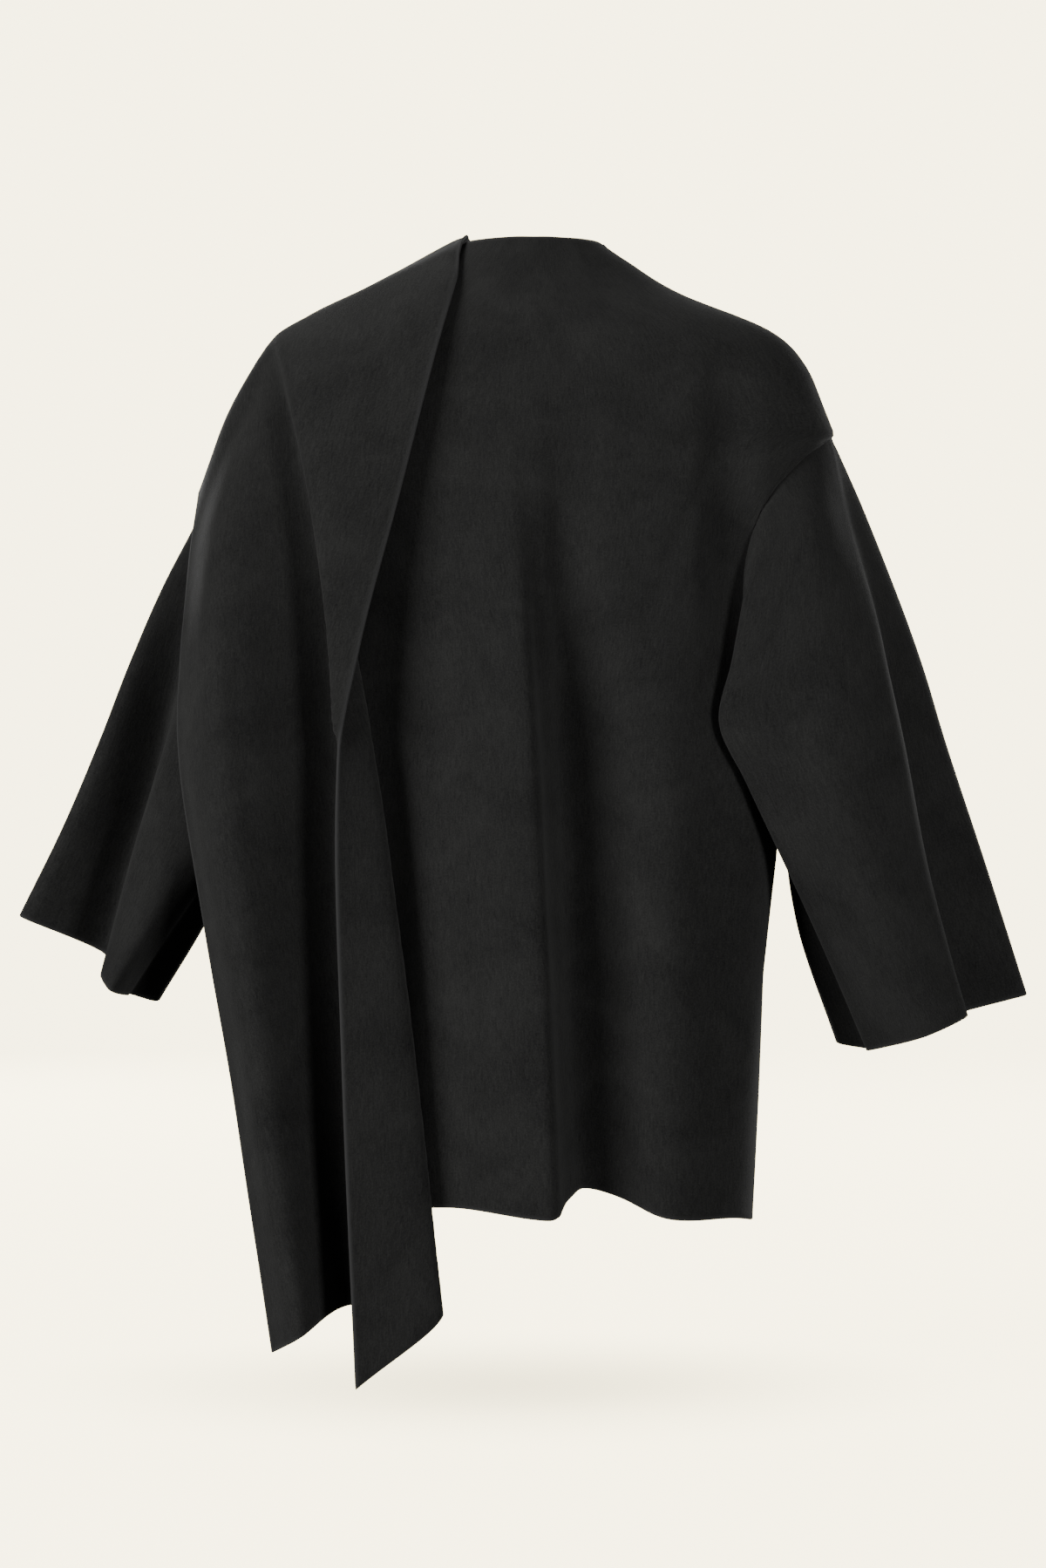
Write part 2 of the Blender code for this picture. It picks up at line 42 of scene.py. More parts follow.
# The cloth as it is bought and sewn.
cloth = {
    "thickness": 2.4,      # mm, double-faced felted wool
    "edgeRound": 0.75,     # mm that the middle of a cut edge stands proud
    "gridStep": 4.2,       # mm between the points of the finished surface
    "foldStep": 2.6,       # mm across the scarf, where the turned fold is sharp
    "rowStep": 9.0,        # mm between the rows that the body is first worked out in
    "seamGap": 0.3,        # mm between two pieces at a seam
    "seamSink": 1.5,       # mm that the cloth dips in along a sewn seam
    "seamWidth": 7.0,      # mm over which it dips
    "cutWidth": 5.0,       # mm from a cut edge over which the fibres look open, with a painted highlight along it
    "sleeveLip": 5.0,      # mm that a sleeve runs on straight from the armhole
    "foldJoin": (2.0, 9.0),  # mm apart at which a fold of the scarf is gone, and whole
    "layGap": 0.6,         # mm between a layer and the cloth under it
    "drape": 1.8,          # mm further where the scarf lies loosely
    "bridge": -4.0,        # the scarf follows the body's valleys no deeper than this
    "rollDrop": 9.0,       # mm that the scarf's edge rolls down beside the neck
    "rollWidth": 18.0,     # mm of its width that rolls
    "rollEnd": 0.2,        # share of its length over which the roll dies out
}

# Sizes of the body's cut, in mm.
bodyCut = {
    "collarTop": 44.0,     # height of the collar's edge
    "lapHalf": 35.0,       # the fronts lap this far past the centre line
    "lapBlend": 40.0,      # width over which the over front rises onto the lap
    "lapEase": 8.0,        # it is fully raised this far before the under front's edge
    "lapLift": 4.4,        # how far the over front stands off the under front
    "collarDip": 14.0,     # how much lower the collar is at the throat
    "underarm": -350.0,    # height of the underarm
    "shoulderTip": -114.0, # height where the dropped armhole starts
    "hem": -757.0,         # height of the hem at the side seams
    "hemRise": 25.0,       # how much higher the hem is at centre back and front
    "hemSway": 0.42,       # drop of the hem for each mm that a fold stands out
}

# Half width, depth at the back, depth at the front and roundness at each height.
bodyTable = (
    # height, half width, back, front, roundness
    (60.0, 44.0, 52.0, 60.0, 2.00),
    (44.0, 53.0, 56.0, 63.0, 2.00),
    (36.0, 70.0, 59.0, 65.0, 2.00),
    (28.0, 80.0, 62.0, 66.0, 2.02),
    (16.0, 97.0, 66.0, 69.0, 2.05),
    (2.0, 121.0, 72.0, 74.0, 2.10),
    (-9.0, 148.0, 77.0, 77.0, 2.15),
    (-18.0, 176.0, 81.0, 80.0, 2.20),
    (-27.0, 194.0, 85.0, 83.0, 2.25),
    (-37.0, 210.0, 89.0, 86.0, 2.30),
    (-50.0, 220.0, 93.0, 90.0, 2.35),
    (-62.0, 228.0, 97.0, 94.0, 2.40),
    (-86.0, 237.0, 103.0, 101.0, 2.40),
    (-114.0, 248.0, 108.0, 107.0, 2.40),
    (-160.0, 244.0, 115.0, 116.0, 2.40),
    (-224.0, 228.0, 119.0, 123.0, 2.40),
    (-300.0, 211.0, 121.0, 126.0, 2.40),
    (-350.0, 203.0, 121.0, 127.0, 2.40),
    (-457.0, 199.0, 122.0, 126.0, 3.00),
    (-556.0, 187.0, 123.0, 125.0, 3.20),
    (-650.0, 184.0, 124.0, 124.0, 3.20),
    (-757.0, 179.0, 125.0, 122.0, 3.20),
)

# The armhole seam on the body: distance from the centre line at each height.
armholeTable = (
    # height, back, front
    (-114.0, 248.0, 248.0),
    (-120.0, 241.0, 240.0),
    (-130.0, 226.0, 226.0),
    (-144.0, 211.0, 211.0),
    (-160.0, 196.0, 197.0),
    (-180.0, 182.0, 185.0),
    (-200.0, 174.0, 177.0),
    (-230.0, 168.0, 171.0),
    (-270.0, 168.0, 170.0),
    (-310.0, 177.0, 178.0),
    (-338.0, 192.0, 193.0),
    (-350.0, 203.0, 203.0),
)

# Hanging folds of the body. A ridge stands out and a valley goes in.
foldTable = (
    # side, x at start, x at hem, start, full, left width, right width, depth, lean
    ("back", -22.0, 8.0, -80.0, -410.0, 88.0, 20.0, 27.0, 7.0),
    ("back", 16.0, 44.0, -70.0, -400.0, 23.0, 58.0, -25.0, -3.0),
    ("back", 104.0, 112.0, -120.0, -560.0, 42.0, 62.0, 13.0, 0.0),
    ("back", -122.0, -118.0, -160.0, -520.0, 34.0, 42.0, -17.0, 0.0),
    ("back", -166.0, -160.0, -240.0, -600.0, 30.0, 34.0, 2.0, 0.0),
    ("front", 112.0, 122.0, -150.0, -560.0, 48.0, 52.0, 13.0, 0.0),
    ("front", 66.0, 70.0, -210.0, -600.0, 32.0, 34.0, -11.0, 0.0),
    ("front", -108.0, -116.0, -170.0, -580.0, 44.0, 50.0, 15.0, 0.0),
    ("front", -60.0, -64.0, -220.0, -620.0, 34.0, 30.0, -10.0, 0.0),
)

# Soft hollows beside the armholes, where the dropped shoulder folds in.
hollowTable = (
    # side, x, upper end, deepest, lower end, inner width, outer width, depth
    ("back", 152.0, -20.0, -215.0, -350.0, 26.0, 38.0, -13.0),
    ("back", -152.0, -20.0, -215.0, -350.0, 26.0, 38.0, -9.0),
    ("front", 148.0, -30.0, -210.0, -350.0, 28.0, 36.0, -9.0),
    ("front", -148.0, -30.0, -210.0, -350.0, 28.0, 36.0, -9.0),
)

# Sleeve lines run from the armhole to the cuff, each with its start on the armhole and six points.
rightSleeveTable = (
    # line, half, share, columns to the next line, points
    ("crown", "back", 0.00, 3, (
        (272, 3, -174), (303, 6, -252), (322, 8, -306),
        (339, 8, -362), (372, 6, -462), (407, 3, -574))),
    ("stripValley", "back", 0.045, 2, (
        (258, -22, -178), (279, -29, -258), (287, -30, -312),
        (297, -31, -372), (316, -30, -476), (346, -26, -588))),
    ("outerCrease", "back", 0.09, 4, (
        (253, -40, -181), (275, -60, -262), (286, -70, -316),
        (298, -76, -376), (318, -77, -482), (350, -66, -588))),
    ("nearRidge", "back", 0.24, 4, (
        (226, -80, -190), (230, -98, -272), (234, -106, -328),
        (246, -110, -394), (277, -102, -500), (314, -84, -603))),
    ("innerCrease", "back", 0.45, 3, (
        (172, -95, -232), (160, -103, -300), (149, -107, -350),
        (170, -98, -396), (221, -78, -500), (273, -52, -616))),
    ("underarmGroove", "back", 0.72, 3, (
        (193, -72, -320), (200, -62, -347), (206, -62, -378),
        (203, -64, -414), (231, -48, -508), (273, -32, -616))),
    ("underarm", "back", 1.00, 3, (
        (216, 0, -359), (219, -1, -373), (214, -16, -394),
        (205, -38, -426), (219, -34, -516), (252, -14, -613))),
    ("frontInner", "front", 0.80, 4, (
        (198, 66, -340), (206, 63, -358), (212, 61, -380),
        (218, 57, -418), (232, 46, -508), (262, 34, -608))),
    ("frontRidge", "front", 0.45, 4, (
        (200, 100, -236), (222, 102, -296), (238, 100, -342),
        (255, 95, -398), (284, 84, -492), (316, 66, -596))),
    ("frontOuter", "front", 0.14, 4, (
        (250, 54, -182), (278, 61, -262), (294, 62, -316),
        (312, 60, -374), (345, 52, -474), (378, 42, -582))),
)
leftSleeveTable = (
    # line, half, share, columns to the next line, points
    ("crown", "back", 0.00, 3, (
        (276, 3, -180), (304, -15, -240), (328, -28, -300),
        (351, -34, -362), (383, -38, -438), (418, -40, -508))),
    ("stripValley", "back", 0.045, 2, (
        (256, -20, -182), (277, -24, -250), (292, -22, -314),
        (306, -17, -380), (330, -11, -458), (352, -8, -540))),
    ("outerCrease", "back", 0.09, 4, (
        (250, -34, -186), (268, -46, -258), (283, -54, -326),
        (302, -58, -386), (325, -62, -466), (350, -60, -556))),
    ("nearRidge", "back", 0.24, 4, (
        (226, -72, -196), (234, -76, -274), (244, -76, -344),
        (264, -79, -412), (300, -80, -490), (342, -74, -566))),
    ("innerCrease", "back", 0.45, 3, (
        (183, -89, -238), (193, -88, -302), (204, -82, -354),
        (228, -72, -414), (279, -62, -494), (331, -54, -571))),
    ("underarmGroove", "back", 0.72, 3, (
        (193, -70, -320), (205, -58, -352), (217, -50, -387),
        (237, -45, -428), (280, -41, -498), (329, -38, -571))),
    ("underarm", "back", 1.00, 3, (
        (216, 0, -359), (221, -2, -373), (225, -8, -395),
        (238, -16, -438), (268, -22, -508), (310, -24, -577))),
    ("frontInner", "front", 0.80, 4, (
        (198, 66, -340), (209, 63, -360), (223, 60, -388),
        (244, 54, -432), (280, 44, -492), (320, 34, -562))),
    ("frontRidge", "front", 0.45, 4, (
        (200, 100, -236), (224, 99, -290), (246, 95, -342),
        (270, 88, -398), (306, 76, -464), (344, 60, -540))),
    ("frontOuter", "front", 0.14, 4, (
        (250, 54, -184), (276, 58, -252), (298, 60, -312),
        (322, 58, -374), (356, 50, -448), (388, 38, -520))),
)
sleeveStations = (0.0, 0.035, 0.14, 0.30, 0.42, 0.55, 0.78, 1.0)

# The scarf's lines at each station: free edge, the turned-over flap's fold, the fold
# behind it, the valley, the broad ridge and the outer edge.
scarfFallTable = (
    # share of the length, free edge, flap fold, back fold, valley, ridge, outer edge
    (0.00, (-49, 0, 56), (-203, 0, -27), (-212, 0, -34), (-219, 0, -43), (-249, 0, -91), (-276, 0, -160)),
    (0.05, (-57, -38, 38), (-206, -37, -33), (-213, -36, -40),
     (-220, -35, -49), (-250, -34, -100), (-276, -27, -178)),
    (0.12, (-67, -80, -6), (-200, -72, -58), (-205, -64, -64),
     (-205, -61, -68), (-248, -60, -132), (-279, -43, -210)),
    (0.21, (-86, -114, -84), (-189, -105, -108), (-189, -92, -115),
     (-192, -85, -121), (-249, -95, -178), (-282, -57, -254)),
    (0.32, (-109, -132, -178), (-174, -127, -194), (-163, -108, -206),
     (-173, -97, -210), (-250, -120, -246), (-285, -71, -306)),
    (0.44, (-137, -144, -288), (-162, -139, -291), (-142, -119, -296),
     (-161, -100, -298), (-249, -133, -328), (-286, -80, -362)),
    (0.56, (-155, -146, -395), (-157, -144, -395), (-126, -126, -392),
     (-158, -101, -395), (-243, -140, -420), (-277, -88, -438)),
    (0.78, (-151, -150, -620), (-151, -150, -620), (-95, -132, -620),
     (-153, -104, -618), (-215, -145, -634), (-241, -98, -644)),
    (1.00, (-140, -153, -876), (-140, -153, -876), (-73, -134, -819),
     (-148, -104, -816), (-184, -147, -836), (-208, -116, -852)),
)

# The stretch across the throat: upper edge, three cross folds, lower edge.
scarfThroatTable = (
    # share of the way, upper edge, high fold, middle, low fold, lower edge
    (0.00, (-49, 0, 56), (-126, 0, 15), (-203, 0, -27), (-249, 0, -91), (-276, 0, -160)),
    (0.16, (-49, 36, 52), (-112, 44, 10), (-196, 48, -40), (-246, 46, -112), (-270, 44, -186)),
    (0.38, (-36, 66, 46), (-84, 86, -8), (-150, 96, -78), (-196, 104, -152), (-222, 110, -226)),
    (0.60, (-10, 78, 38), (-44, 99, -20), (-88, 116, -94), (-126, 132, -172), (-146, 138, -252)),
    (0.80, (16, 80, 34), (-6, 101, -24), (-32, 121, -96), (-56, 138, -172), (-66, 144, -250)),
    (1.00, (44, 72, 34), (42, 92, -22), (38, 112, -86), (34, 128, -152), (30, 134, -222)),
)

axes = (Vector((1, 0, 0)), Vector((0, 1, 0)), Vector((0, 0, 1)))


def ease(value):
    value = min(1.0, max(0.0, value))
    return value * value * (3.0 - 2.0 * value)


def lookUp(table, height, column):
    # straight interpolation in a table whose first column falls
    for upper, lower in zip(table, table[1:]):
        if height >= lower[0]:
            break
    t = min(1.0, max(0.0, (height - lower[0]) / (upper[0] - lower[0])))
    return lower[column] + (upper[column] - lower[column]) * t


sizeMemo = {}


def bodySize(height, column):
    # the table read at five near heights, so that its corners are rounded
    key = (round(height, 3), column)
    if key not in sizeMemo:
        near = (-8.0, -4.0, 0.0, 4.0, 8.0)
        sizeMemo[key] = sum(lookUp(bodyTable, height + k, column) for k in near) / len(near)
    return sizeMemo[key]


def bump(offset, left, right):
    share = -offset / left if offset < 0 else offset / right
    return math.cos(math.pi / 2 * share) ** 2 if share < 1 else 0.0


def foldShift(side, x, height):
    # how far the folds move a point outward, and how far they lean over
    out = 0.0
    lean = 0.0
    for name, xStart, xHem, start, full, left, right, depth, over in foldTable:
        if name == side and height < start:
            line = xStart + (xHem - xStart) * (start - height) / (start - bodyCut["hem"])
            grown = ease((start - height) / (start - full))
            spread = 0.75 + 0.25 * grown
            share = grown * bump(x - line, left * spread, right * spread)
            out += depth * share
            lean += over * share
    for name, line, upper, deepest, lower, inner, outer, depth in hollowTable:
        if name == side and lower < height < upper:
            end = upper if height > deepest else lower
            left, right = (inner, outer) if line > 0 else (outer, inner)
            grown = ease((end - height) / (end - deepest))
            out += depth * grown * bump(x - line, left, right)
    return out, lean


def bodyPoint(turn, height):
    # turn is 0 at the right side, -90 degrees at the back and 90 at the front
    power = bodySize(height, 4)
    side = "back" if math.sin(turn) < 0 else "front"
    depth = bodySize(height, 2 if side == "back" else 3)
    c = math.cos(turn)
    s = math.sin(turn)
    r = (abs(c) ** power + abs(s) ** power) ** (-1.0 / power)
    x = bodySize(height, 1) * r * c
    y = depth * r * s
    out, lean = foldShift(side, x, height)
    calm = min(1.0, abs(s) * 1.6)
    outward = -1.0 if side == "back" else 1.0
    rise = bodyCut["hemRise"] * abs(s) ** 2 * ease((-450.0 - height) / 300.0)
    sway = bodyCut["hemSway"] * out * ease((-520.0 - height) / 230.0)
    dip = bodyCut["collarDip"] * max(0.0, s) ** 2 * ease((height + 20.0) / 60.0)
    x += lean * calm
    y += outward * out * calm
    return Vector((x, y, height + rise - sway - dip))


def bodyNormal(turn, height):
    step = 0.01
    around = bodyPoint(turn + step, height) - bodyPoint(turn - step, height)
    along = bodyPoint(turn, height + 1.0) - bodyPoint(turn, height - 1.0)
    return around.cross(along).normalized()


def sectionTurn(reach, height):
    # the turn at which a level section reaches this far from the centre line
    power = bodySize(height, 4)
    share = min(0.99999, reach / bodySize(height, 1))
    return math.atan((share ** -power - 1.0) ** (1.0 / power))


def armholeTurn(height, side, right):
    turn = 0.0
    if bodyCut["underarm"] < height < bodyCut["shoulderTip"]:
        turn = sectionTurn(lookUp(armholeTable, height, 1 if side == "back" else 2), height)
    if side == "back":
        return -turn if right else -math.pi + turn
    return turn if right else math.pi - turn


def lapTurn(height, right):
    reach = min(bodyCut["lapHalf"], 0.45 * bodySize(height, 1))
    turn = sectionTurn(reach, height)
    return math.pi - turn if right else turn


def resample(values, places, wanted):
    # smooth curves through rows of values, read at the wanted places
    last = len(places) - 1
    k = np.clip(np.searchsorted(places, wanted, side="right") - 1, 0, last - 1)
    low = np.maximum(np.arange(last + 1) - 1, 0)
    high = np.minimum(np.arange(last + 1) + 1, last)
    slope = (values[high] - values[low]) / (places[high] - places[low])[:, None, None]
    span = (places[k + 1] - places[k])[:, None, None]
    t = ((wanted - places[k])[:, None, None]) / span
    a = values[k] * (2 * t ** 3 - 3 * t ** 2 + 1) + values[k + 1] * (3 * t ** 2 - 2 * t ** 3)
    b = slope[k] * (t ** 3 - 2 * t ** 2 + t) + slope[k + 1] * (t ** 3 - t ** 2)
    return a + b * span


def runOf(values):
    # the mean distance covered from row to row, from 0 at the first
    return np.concatenate(([0.0], np.cumsum(distances(values[:, :, :3]).mean(axis=1))))


def refine(values, around=False, acrossStep=cloth["gridStep"]):
    # the same surface with its points evenly apart in both directions
    run = runOf(values)
    rows = max(2, round(run[-1] / cloth["gridStep"]))
    values = resample(values, run, np.linspace(0.0, run[-1], rows + 1))
    turned = values.transpose(1, 0, 2)
    if around:
        turned = np.concatenate((turned[-3:], turned, turned[:3]))
    run = runOf(turned)
    first, last = (run[3], run[-3]) if around else (0.0, run[-1])
    columns = max(2, round((last - first) / acrossStep))
    wanted = np.linspace(first, last, columns + 1)
    if around:
        wanted = wanted[:-1]
    return resample(turned, run, wanted).transpose(1, 0, 2)


def gridNormals(points, around=False):
    if around:
        across = np.roll(points, -1, axis=1) - np.roll(points, 1, axis=1)
    else:
        across = np.gradient(points, axis=1)
    along = -np.gradient(points, axis=0)
    normals = np.cross(across, along)
    return normals / np.linalg.norm(normals, axis=2, keepdims=True)


def distances(points):
    return np.linalg.norm(np.diff(points, axis=0), axis=-1)


def flatPlaces(points, around):
    # where each point lies on the flat cloth, across and along, in mm
    middle = points[points.shape[0] // 2]
    loop = np.concatenate((middle, middle[:1])) if around else middle
    u = np.concatenate(([0.0], np.cumsum(distances(loop))))
    v = np.concatenate(([0.0], np.cumsum(distances(points).mean(axis=1))))
    return u, v


def creaseDepth(u, v, creases):
    # soft troughs (below 0) and ridges, each along a bowed line on the flat cloth
    total = np.zeros((len(v), len(u)))
    wide, long = u[-1], v[-1]
    uu, vv = np.meshgrid(u, v)
    for u1, v1, u2, v2, width, depth, bow in creases:
        start = np.array((u1 * wide, v1 * long))
        way = np.array((u2 * wide, v2 * long)) - start
        length = np.hypot(*way)
        way = way / length
        t = ((uu - start[0]) * way[0] + (vv - start[1]) * way[1]) / length
        inside = np.clip(t, 0.0, 1.0)
        aside = (uu - start[0]) * -way[1] + (vv - start[1]) * way[0]
        aside = aside - bow * 4.0 * inside * (1.0 - inside)
        fade = np.where((t > 0.0) & (t < 1.0), np.sin(math.pi * inside) ** 0.8, 0.0)
        total += depth * fade * np.exp(-(aside / width) ** 2)
    return total


# The slight unevenness that hanging cloth has everywhere, in mm.
unevenness = {
    "broad": 0.42,             # height of the broad waves
    "across": (31.0, 43.0),    # their lengths across, over 2 pi
    "along": (57.0, 74.0),     # their lengths along, over 2 pi
    "wander": (0.8, 1.1),      # how far they stray from straight rows
    "fine": 0.25,              # height of the fine slanting waves
    "slant": (17.0, 39.0),     # their lengths across and along, over 2 pi
}


def handleOf(u, v, seed):
    look = unevenness
    uu, vv = np.meshgrid(u, v)
    a = np.sin(uu / look["across"][0] + look["wander"][0] * np.sin(vv / look["along"][0] + seed) + seed)
    b = np.sin(vv / look["along"][1] + look["wander"][1] * np.sin(uu / look["across"][1] + 2.0 * seed))
    fine = np.sin(uu / look["slant"][0] - vv / look["slant"][1] + 3.0 * seed)
    return look["broad"] * a * b + look["fine"] * fine * b


def edgeDistances(u, v):
    # how far each point lies from each edge of the flat cloth, in mm
    uu, vv = np.meshgrid(u, v)
    return {"first": uu, "last": u[-1] - uu, "top": vv, "bottom": v[-1] - vv}


def rimLoops(rows, columns, around):
    # each cut rim as (row, column) places in order, and whether its faces turn over
    if around:
        return [([(0, c) for c in range(columns)], False), ([(rows - 1, c) for c in range(columns)], True)]
    ring = [(0, c) for c in range(columns)]
    ring += [(r, columns - 1) for r in range(1, rows)]
    ring += [(rows - 1, c) for c in range(columns - 2, -1, -1)]
    ring += [(r, 0) for r in range(rows - 2, 0, -1)]
    return [(ring, False)]


def awayFromCloth(points, ring, around):
    # the way that each rim point faces, out of the cloth's edge
    away = []
    rows, columns = points.shape[:2]
    for r, c in ring:
        inner = (min(max(r, 1), rows - 2), c if around else min(max(c, 1), columns - 2))
        away.append(points[r, c] - points[inner])
    away = np.array(away)
    return away / np.linalg.norm(away, axis=1, keepdims=True)


def buildCloth(piece, points, normals, around):
    # a closed wall of cloth with round cut edges and its own flat UV map
    sewn = piece["sewn"]
    u, v = flatPlaces(points, around)
    rows, columns = points.shape[:2]
    toEdge = edgeDistances(u[:columns], v)
    shift = creaseDepth(u[:columns], v, piece["creases"])
    shift += handleOf(u[:columns], v, piece["seed"])
    for edge in sewn:
        near = np.clip(toEdge[edge] / cloth["seamWidth"], 0.0, 1.0)
        shift *= near
        shift -= cloth["seamSink"] * (1.0 - near * near * (3.0 - 2.0 * near))
    # lighter near a free cut edge: partly opened fibres, partly a painted highlight
    edgeNear = np.zeros((rows, columns))
    for edge in ("top", "bottom") if around else toEdge:
        if edge not in sewn:
            edgeNear = np.maximum(edgeNear, np.clip(1.0 - toEdge[edge] / cloth["cutWidth"], 0.0, 1.0))
    points = points + normals * shift[:, :, None]
    half = cloth["thickness"] / 2
    vertices = [(points + normals * half).reshape(-1, 3), (points - normals * half).reshape(-1, 3)]
    near = [edgeNear.reshape(-1), edgeNear.reshape(-1)]
    size = rows * columns
    faces = []
    places = []

    def addFace(corners, where):
        faces.append(corners)
        places.extend(where)

    for r in range(rows - 1):
        for c in range(columns if around else columns - 1):
            a = r * columns + c
            b = r * columns + (c + 1) % columns
            where = ((r, c), (r + 1, c), (r + 1, c + 1), (r, c + 1))
            addFace((a, a + columns, b + columns, b), where)
            addFace((size + a, size + b, size + b + columns, size + a + columns),
                    (where[0], where[3], where[2], where[1]))

    # the cut edges: one loop of points round each rim, pushed out to round it
    base = 2 * size
    for ring, turned in rimLoops(rows, columns, around):
        indices = [r * columns + c for r, c in ring]
        where = ring + ([(ring[0][0], columns)] if around else ring[:1])
        away = awayFromCloth(points, ring, around)
        vertices.append(points.reshape(-1, 3)[indices] + away * cloth["edgeRound"])
        isSewn = around and not turned and "top" in sewn
        near.append(np.full(len(ring), 0.0 if isSewn else 1.0))
        count = len(ring)
        for k in range(count):
            n = (k + 1) % count
            a, b, m, q, p0, p1 = indices[k], indices[n], base + k, base + n, where[k], where[k + 1]
            if turned:
                a, b, m, q, p0, p1 = b, a, q, m, p1, p0
            addFace((a, b, q, m), (p0, p1, p1, p0))
            addFace((m, q, size + b, size + a), (p0, p1, p1, p0))
        base += count

    mesh = bpy.data.meshes.new(piece["name"])
    mesh.from_pydata((np.concatenate(vertices) * mm).tolist(), [], faces)
    layer = mesh.uv_layers.new(name="flatCloth")
    where = np.array(places)
    wide = np.append(u, u[-1])[where[:, 1]] * mm
    layer.data.foreach_set("uv", np.stack((wide, v[where[:, 0]] * mm), axis=1).reshape(-1))
    # share of the painted highlight and opened-fibre tone at each point, 1 on a free cut edge
    edge = mesh.attributes.new("cutEdgeAndHighlight", "FLOAT", "POINT")
    edge.data.foreach_set("value", np.concatenate(near))
    mesh.materials.append(blackWool)
    mesh.shade_smooth()
    mesh.update()
    item = bpy.data.objects.new(piece["name"], mesh)
    bpy.context.scene.collection.objects.link(item)
    return item


def finishPiece(item, piece):
    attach(item, "root")
    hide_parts(piece["node"])
    print("made", item.name, len(item.data.polygons), "faces")


def rowHeights():
    # heights of the body's rows, with one on each end of the armhole
    stops = (bodyCut["collarTop"], bodyCut["shoulderTip"], bodyCut["underarm"], bodyCut["hem"])
    heights = []
    for high, low in zip(stops, stops[1:]):
        count = max(2, round((high - low) / cloth["rowStep"]))
        heights += [high + (low - high) * k / count for k in range(count)]
    return heights + [stops[-1]]


def crowd(t, low, high):
    # moves a place between 0 and 1 to between low and high, near the ends alone
    end = 0.34
    if t > 1.0 - end:
        t -= (1.0 - high) * ((t - (1.0 - end)) / end) ** 2
    elif t < end:
        t += low * ((end - t) / end) ** 2
    return t


def bodySurface(piece, first, last, full, lift):
    # points and normals between two edges; full gives the turns at which the
    # panel would end with no armhole cut out of it
    side = piece["side"]
    columns = piece["columns"]
    rows = []
    for height in rowHeights():
        start, end = full(height)
        fine = 4 * columns
        turns = [start + (end - start) * k / fine for k in range(fine + 1)]
        line = [bodyPoint(turn, height) for turn in turns]
        run = [0.0]
        for a, b in zip(line, line[1:]):
            run.append(run[-1] + (b - a).length)
        low, high = np.interp((first(height), last(height)), turns, run) / run[-1]
        row = []
        for k in range(columns + 1):
            goal = run[-1] * crowd(k / columns, low, high)
            turn = float(np.interp(goal, run, turns))
            point = bodyPoint(turn, height)
            normal = bodyNormal(turn, height)
            point += normal * lift(point.x)
            if k in (0, columns) and abs(math.sin(turn)) < 0.02:
                point.y += (-0.5 if side == "back" else 0.5) * cloth["seamGap"]
            row.append((*point, *normal))
        rows.append(row)
    return refine(np.array(rows))


def noLift(x):
    return 0.0


def overLift(x):
    reach = bodyCut["lapHalf"] + bodyCut["lapBlend"] - x
    return bodyCut["lapLift"] * ease(reach / (bodyCut["lapBlend"] - bodyCut["lapEase"]))


def unit(vectors):
    return vectors / np.linalg.norm(vectors, axis=2, keepdims=True)


def armholeEdge(side, right):
    # the body's points and normals down one half of the armhole
    edge = []
    for k in range(61):
        height = bodyCut["shoulderTip"] + (bodyCut["underarm"] - bodyCut["shoulderTip"]) * k / 60
        turn = armholeTurn(height, side, right)
        edge.append((bodyPoint(turn, height), bodyNormal(turn, height)))
    return edge


def armholePoint(edge, share):
    run = [0.0]
    for a, b in zip(edge, edge[1:]):
        run.append(run[-1] + (b[0] - a[0]).length)
    goal = run[-1] * share
    k = min(max(bisect.bisect_left(run, goal), 1), len(edge) - 1)
    t = (goal - run[k - 1]) / (run[k] - run[k - 1])
    low, high = edge[k - 1], edge[k]
    return low[0].lerp(high[0], t), low[1].lerp(high[1], t).normalized()


def curveBetween(p, knots, t):
    # the curve through four points at t, which lies between the middle two
    def mix(a, b, low, high):
        share = (t - knots[low]) / (knots[high] - knots[low])
        return a * (1.0 - share) + b * share

    a = mix(p[0], p[1], 0, 1)
    b = mix(p[1], p[2], 1, 2)
    c = mix(p[2], p[3], 2, 3)
    return mix(mix(a, b, 0, 2), mix(b, c, 1, 3), 1, 2)


def curveAcross(points, counts, closed):
    # a curve through the points, with a set number of steps in each span
    if closed:
        ring = [points[-1]] + list(points) + [points[0], points[1]]
    else:
        ring = [points[0] * 2 - points[1]] + list(points) + [points[-1] * 2 - points[-2]]
    row = []
    for i in range(len(ring) - 3):
        p = ring[i:i + 4]
        knots = [0.0]
        for a, b in zip(p, p[1:]):
            knots.append(knots[-1] + max((b - a).length, 0.01) ** 0.5)
        for k in range(counts[i]):
            row.append(curveBetween(p, knots, knots[1] + (knots[2] - knots[1]) * k / counts[i]))
    if not closed:
        row.append(points[-1])
    return row


